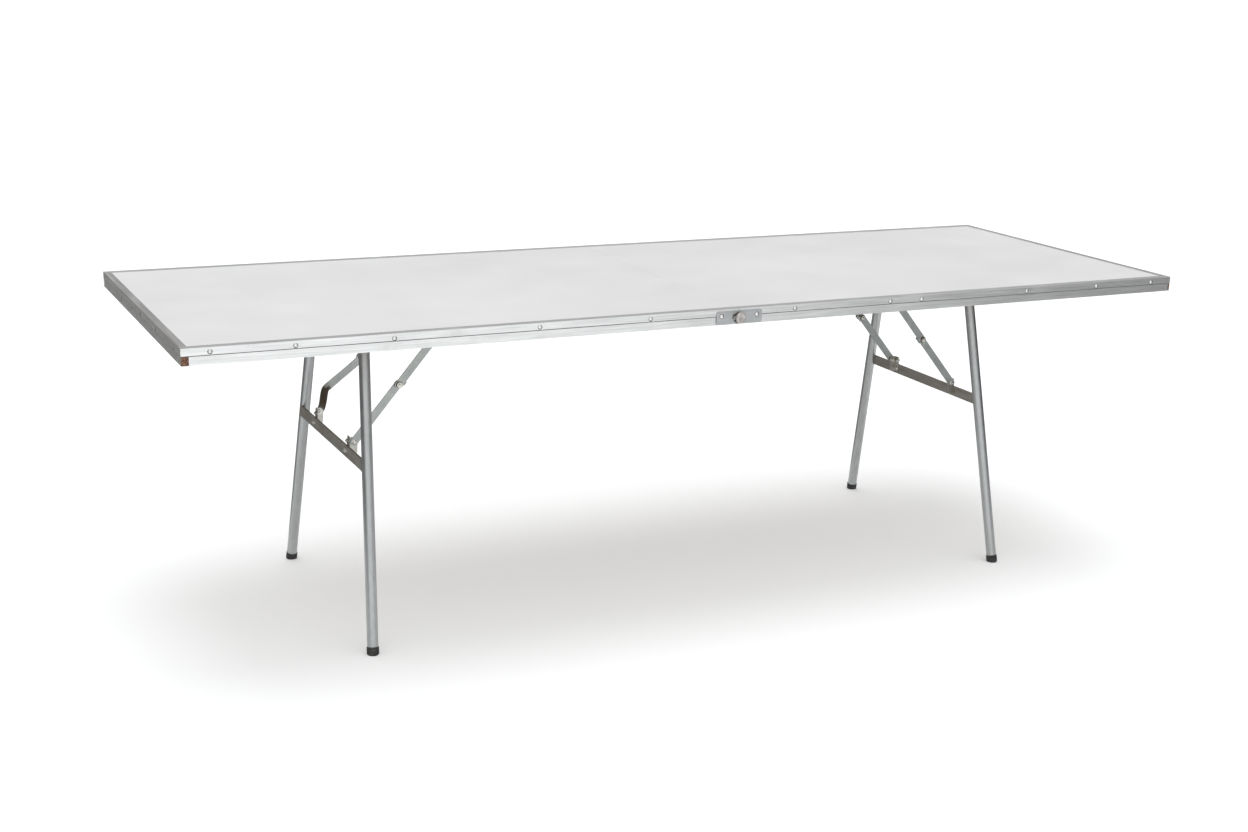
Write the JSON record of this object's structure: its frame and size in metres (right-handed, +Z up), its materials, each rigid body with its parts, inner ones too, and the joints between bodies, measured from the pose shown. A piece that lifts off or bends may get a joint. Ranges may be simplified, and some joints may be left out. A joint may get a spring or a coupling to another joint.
{
  "type": "folding table",
  "caption": "Long rectangular folding table: white top with metal edge strips that folds at the middle, on two tube leg frames with folding braces.",
  "frame": {"origin": "on the floor under the middle of the top", "axes": "+X along the top to its right end, +Y from the front long edge to the rear one, +Z up"},
  "size_m": [2.5, 0.8972, 0.744],
  "materials": {
    "white_sheet": "satin white laminate",
    "board": "raw chipboard",
    "timber": "raw softwood",
    "edge_aluminium": "mill finish, brushed along its length",
    "leg_steel": "galvanised tube, satin",
    "bar_steel": "dull, weathered",
    "zinc_steel": "zinc plated, satin",
    "bright_zinc": "yellowish zinc, worn",
    "knob_steel": "cast, worn",
    "rubber": "matte"
  },
  "bodies": {
    "left_top": {"left_white_sheet": "white_sheet", "left_top_board": "board", "left_front_rail": "timber", "left_rear_rail": "timber", "left_seam_rail": "timber", "left_end_rail": "timber", "left_front_edge_strip": "edge_aluminium", "left_rear_edge_strip": "edge_aluminium", "left_end_edge_strip": "edge_aluminium", "front_left_latch_plate": "zinc_steel", "rear_left_latch_plate": "zinc_steel", "left_hinge_leaf": "zinc_steel", "left_front_leg_saddle": "zinc_steel", "left_front_top_bracket": "zinc_steel", "left_rear_leg_saddle": "zinc_steel", "left_rear_top_bracket": "zinc_steel", "hinge_pin": "zinc_steel"},
    "left_legs": {"left_leg_tube": "leg_steel", "left_crossbar": "bar_steel", "left_front_foot_cap": "rubber", "left_front_crossbar_bracket": "bright_zinc", "left_front_bracket_bolt": "bright_zinc", "left_rear_foot_cap": "rubber", "left_rear_crossbar_bracket": "bright_zinc", "left_rear_bracket_bolt": "bright_zinc"},
    "right_top": {"right_white_sheet": "white_sheet", "right_top_board": "board", "right_front_rail": "timber", "right_rear_rail": "timber", "right_seam_rail": "timber", "right_end_rail": "timber", "right_front_edge_strip": "edge_aluminium", "right_rear_edge_strip": "edge_aluminium", "right_end_edge_strip": "edge_aluminium", "front_right_latch_plate": "zinc_steel", "rear_right_latch_plate": "zinc_steel", "right_hinge_leaf": "zinc_steel", "right_front_leg_saddle": "zinc_steel", "right_front_top_bracket": "zinc_steel", "right_rear_leg_saddle": "zinc_steel", "right_rear_top_bracket": "zinc_steel"},
    "right_legs": {"right_leg_tube": "leg_steel", "right_crossbar": "bar_steel", "right_front_foot_cap": "rubber", "right_front_crossbar_bracket": "bright_zinc", "right_front_bracket_bolt": "bright_zinc", "right_rear_foot_cap": "rubber", "right_rear_crossbar_bracket": "bright_zinc", "right_rear_bracket_bolt": "bright_zinc"},
    "left_front_upper_brace": {"left_front_upper_link": "zinc_steel"},
    "left_front_lower_brace": {"left_front_lower_link": "zinc_steel"},
    "left_rear_upper_brace": {"left_rear_upper_link": "zinc_steel"},
    "left_rear_lower_brace": {"left_rear_lower_link": "zinc_steel"},
    "right_front_upper_brace": {"right_front_upper_link": "zinc_steel"},
    "right_front_lower_brace": {"right_front_lower_link": "zinc_steel"},
    "right_rear_upper_brace": {"right_rear_upper_link": "zinc_steel"},
    "right_rear_lower_brace": {"right_rear_lower_link": "zinc_steel"},
    "front_knob": {"front_latch_knob": "knob_steel"},
    "rear_knob": {"rear_latch_knob": "knob_steel"}
  },
  "joints": [
    {"name": "centre_fold", "type": "hinge", "parent": "left_top", "child": "right_top", "pos_m": [0, 0, 0.7051], "axis": [0, 1, 0], "range_deg": [0, 90]},
    {"name": "left_leg_fold", "type": "hinge", "parent": "left_top", "child": "left_legs", "pos_m": [-0.802, 0, 0.7208], "axis": [0, -1, 0], "range_deg": [0, 92.5]},
    {"name": "right_leg_fold", "type": "hinge", "parent": "right_top", "child": "right_legs", "pos_m": [0.802, 0, 0.7208], "axis": [0, 1, 0], "range_deg": [0, 92.5]},
    {"name": "left_front_upper_brace_turn", "type": "hinge", "parent": "left_top", "child": "left_front_upper_brace", "pos_m": [-0.56779, -0.14, 0.7242], "axis": [0, -1, 0], "range_deg": [0, 130]},
    {"name": "left_front_lower_brace_turn", "type": "hinge", "parent": "left_legs", "child": "left_front_lower_brace", "pos_m": [-0.81217, -0.14, 0.43296], "axis": [0, -1, 0], "range_deg": [-142.5, 0]},
    {"name": "left_rear_upper_brace_turn", "type": "hinge", "parent": "left_top", "child": "left_rear_upper_brace", "pos_m": [-0.56779, 0.14, 0.7242], "axis": [0, -1, 0], "range_deg": [0, 130]},
    {"name": "left_rear_lower_brace_turn", "type": "hinge", "parent": "left_legs", "child": "left_rear_lower_brace", "pos_m": [-0.81217, 0.14, 0.43296], "axis": [0, -1, 0], "range_deg": [-142.5, 0]},
    {"name": "right_front_upper_brace_turn", "type": "hinge", "parent": "right_top", "child": "right_front_upper_brace", "pos_m": [0.56779, -0.14, 0.7242], "axis": [0, 1, 0], "range_deg": [0, 130]},
    {"name": "right_front_lower_brace_turn", "type": "hinge", "parent": "right_legs", "child": "right_front_lower_brace", "pos_m": [0.81217, -0.14, 0.43296], "axis": [0, 1, 0], "range_deg": [-142.5, 0]},
    {"name": "right_rear_upper_brace_turn", "type": "hinge", "parent": "right_top", "child": "right_rear_upper_brace", "pos_m": [0.56779, 0.14, 0.7242], "axis": [0, 1, 0], "range_deg": [0, 130]},
    {"name": "right_rear_lower_brace_turn", "type": "hinge", "parent": "right_legs", "child": "right_rear_lower_brace", "pos_m": [0.81217, 0.14, 0.43296], "axis": [0, 1, 0], "range_deg": [-142.5, 0]},
    {"name": "front_knob_turn", "type": "hinge", "parent": "left_top", "child": "front_knob", "pos_m": [0, -0.4371, 0.723], "axis": [0, -1, 0], "range_deg": [0, 90]},
    {"name": "rear_knob_turn", "type": "hinge", "parent": "left_top", "child": "rear_knob", "pos_m": [0, 0.4371, 0.723], "axis": [0, 1, 0], "range_deg": [0, 90]}
  ],
  "couplings": [
    {"joint": "left_front_upper_brace_turn", "follows": "left_leg_fold", "ratio": 1.4054},
    {"joint": "left_front_lower_brace_turn", "follows": "left_leg_fold", "ratio": -1.5405},
    {"joint": "left_rear_upper_brace_turn", "follows": "left_leg_fold", "ratio": 1.4054},
    {"joint": "left_rear_lower_brace_turn", "follows": "left_leg_fold", "ratio": -1.5405},
    {"joint": "right_front_upper_brace_turn", "follows": "right_leg_fold", "ratio": 1.4054},
    {"joint": "right_front_lower_brace_turn", "follows": "right_leg_fold", "ratio": -1.5405},
    {"joint": "right_rear_upper_brace_turn", "follows": "right_leg_fold", "ratio": 1.4054},
    {"joint": "right_rear_lower_brace_turn", "follows": "right_leg_fold", "ratio": -1.5405}
  ]
}
